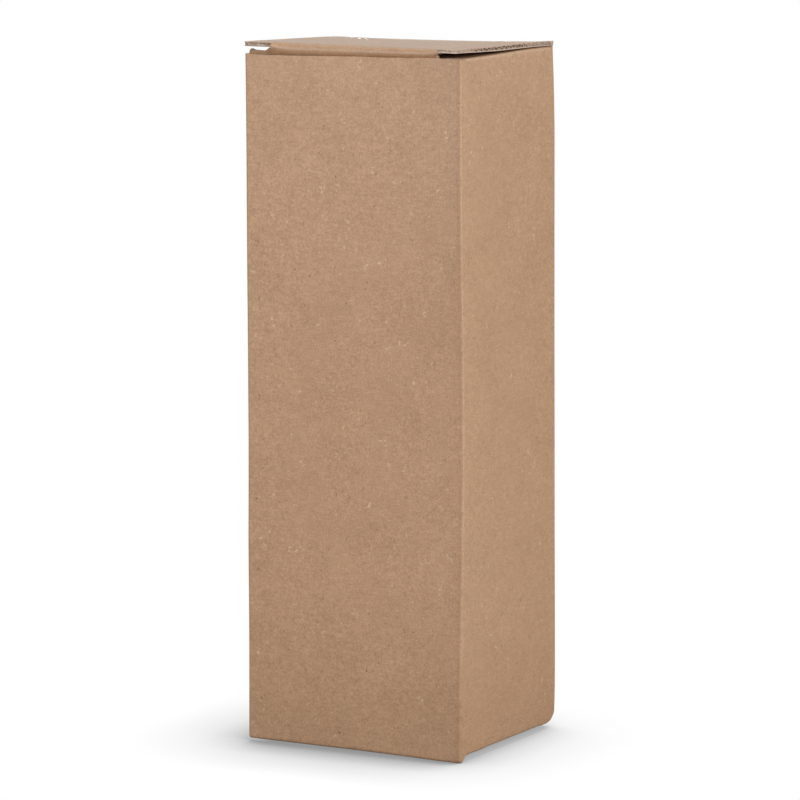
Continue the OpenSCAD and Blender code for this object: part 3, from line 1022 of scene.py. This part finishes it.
# Dark places along the cut front of the left corner tab, by x; those beside the slit are a painted shadow of
# the slit's end
TAB_TONE = [(-37.9, -0.9), (-37.3, -0.7), (-36.6, -0.15), (-35.3, -0.15), (-34.7, -0.65), (-34, -0.65),
            (-33.5, 0), (-31.4, -0.1), (-30.8, -0.6), (-28.6, -0.9), (0, 0)]
# How deep the flutes are open at the lid's side edges, by y
FLUTES_DEEP = [(-33, 0.13), (-22, 0.2), (-17, 0.65), (13, 0.65), (20, 0)]
# Depths of the fluted paper below the lid's top face, which reaches a little into both liners
FLUTE_TOP = LINER - 0.02
FLUTE_LOW = LID_BOARD - LOWER_LINER + 0.02
FLUTE_MIDDLE = (FLUTE_TOP + FLUTE_LOW) / 2
LAYERS = [FLUTE_TOP, FLUTE_TOP + 0.25, FLUTE_MIDDLE, FLUTE_LOW - 0.25, FLUTE_LOW]
FLUTE_START = HINGE_REACH - 0.3
FLUTE_END = LID_FRONT + 0.35
FLUTE_STEPS = 12
FIBRE_ROWS = 200


def flute_rows(first, last, end):
    """Rows of the fluted paper from one place across the lid to another, as far as an end in y."""
    swing = (FLUTE_LOW - FLUTE_TOP - MEDIUM) / 2
    rows = []
    for i in range(int((FLUTE_START - FLUTE_END) / FLUTE * FLUTE_STEPS) + 1):
        y = FLUTE_START - FLUTE * i / FLUTE_STEPS
        if y < end - NEAR:
            break
        line = []
        for share in (0, 0.004, 0.02, 0.5, 0.98, 0.996, 1):
            x = first + (last - first) * share
            phase = 2 * math.pi * i / FLUTE_STEPS + wobble(x / 40, y, 9, 5, 2.2)
            # the peaks are pressed flat against the liners, and some are crushed
            wave = clamp(1.35 * math.cos(phase), -1, 1) * clamp(1 + wobble(x / 40, y, 2, 3, 0.5), 0.55, 1)
            depth = FLUTE_MIDDLE + swing * wave
            x = widened(x, y)
            line.append((lid_point(x, y, depth - MEDIUM / 2), lid_point(x, y, depth + MEDIUM / 2), 0.0))
        rows.append(line)
    return rows


def fibre_rows(side):
    """Torn fibres that close the flutes at a side edge: deep inside in front, near the edge at the back."""
    rows = []
    for i in range(FIBRE_ROWS + 1):
        y = FLUTE_START - (FLUTE_START - FLUTE_END) * i / FIBRE_ROWS
        deep = 0.06 + table(FLUTES_DEEP, y) + wobble(side, y, 5, 1.1, 0.3)
        line = []
        for depth in LAYERS:
            x = widened(LID_LEFT, y) + deep if side < 0 else widened(LID_RIGHT, y) - deep
            x += side * wobble(y, depth, 3, 0.5, 0.08)
            inner = lid_point(x - side * MEDIUM, y, depth)
            line.append((lid_point(x, y, depth), inner, -0.4 * clamp((y - 8) / 15, 0, 1)))
        rows.append(line)
    return rows


def tab_front_rows(first, last):
    """The cut front of a corner tab, along a flute."""
    rows = []
    for i in range(37):
        x = first + (last - first) * i / 36
        line = []
        for depth in LAYERS:
            y = LID_FRONT + 0.28 + 0.12 * math.sin(math.pi * (depth - FLUTE_TOP) / (FLUTE_LOW - FLUTE_TOP))
            y += wobble(x, depth, 6, 0.9, 0.22)
            _, _, z = lid_point(x, LID_FRONT, depth)
            line.append(((x, y, z), (x, y + MEDIUM, z), table(TAB_TONE, x)))
        rows.append(line)
    return rows


def make_flutes():
    """The fluted paper between the lid's two faces, which shows at its side edges."""
    sheet = Sheet()
    for first, last, end in ((LID_LEFT + 0.15, NECK_LEFT, FLUTE_END), (NECK_LEFT, NECK_RIGHT, BEND_START),
                             (NECK_RIGHT, LID_RIGHT - 0.15, FLUTE_END)):
        sheet.grid(flute_rows(first, last, end))
    for side, first, last in ((-1, LID_LEFT + 0.05, NECK_LEFT), (1, NECK_RIGHT, LID_RIGHT - 0.05)):
        sheet.grid(fibre_rows(side))
        sheet.grid(tab_front_rows(first, last))
    return sheet.build("lid_flutes", FLUTING, FLUTING, EDGE)


lid = make_lid()
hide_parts("top_lid")
for piece in (lid, make_lid_lining(), make_flutes()):
    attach(piece, "top_lid")


def make_floor():
    """The white ground."""
    bm = bmesh.new()
    bmesh.ops.create_grid(bm, x_segments=8, y_segments=8, size=6)
    floor = finish_mesh(bm, "floor", (floor_material(),))


WORLD_LIGHT = 0.38


def make_world():
    """Even light from all round, behind which the camera sees white."""
    world = bpy.data.worlds.new("studio")
    bpy.context.scene.world = world
    world.use_nodes = True
    tree = world.node_tree
    back = tree.nodes["Background"]
    back.inputs["Color"].default_value = (1, 1, 1, 1)
    back.inputs["Strength"].default_value = WORLD_LIGHT
    white = tree.nodes.new("ShaderNodeBackground")
    white.inputs["Color"].default_value = (1, 1, 1, 1)
    white.inputs["Strength"].default_value = 1
    path = tree.nodes.new("ShaderNodeLightPath")
    pick = tree.nodes.new("ShaderNodeMixShader")
    either = tree.nodes.new("ShaderNodeMath")
    either.operation = "MAXIMUM"
    tree.links.new(path.outputs["Is Camera Ray"], either.inputs[0])
    tree.links.new(path.outputs["Is Glossy Ray"], either.inputs[1])
    tree.links.new(either.outputs[0], pick.inputs[0])
    tree.links.new(back.outputs[0], pick.inputs[1])
    tree.links.new(white.outputs[0], pick.inputs[2])
    tree.links.new(pick.outputs[0], tree.nodes["World Output"].inputs["Surface"])


def make_lamp(name, place, aim, size, power):
    """A square white lamp."""
    data = bpy.data.lights.new(name, "AREA")
    data.shape = "SQUARE"
    data.size = size
    data.energy = power
    lamp = bpy.data.objects.new(name, data)
    bpy.context.collection.objects.link(lamp)
    lamp.location = place
    lamp.rotation_euler = (Vector(aim) - Vector(place)).to_track_quat("-Z", "Y").to_euler()


make_camera()
make_floor()
make_world()
make_lamp("key", (-0.3, -0.92, 0.52), (0, 0, 0.15), 0.6, 6.7)
make_lamp("side", (1.0, -0.2, 0.38), (0, 0, 0.15), 0.6, 8.6)
# low enough to light the back and the left side without reaching the lid
make_lamp("back", (-0.55, 1.0, 0.11), (0, 0, 0.11), 0.2, 5.5)

bpy.context.scene.view_settings.view_transform = "Standard"
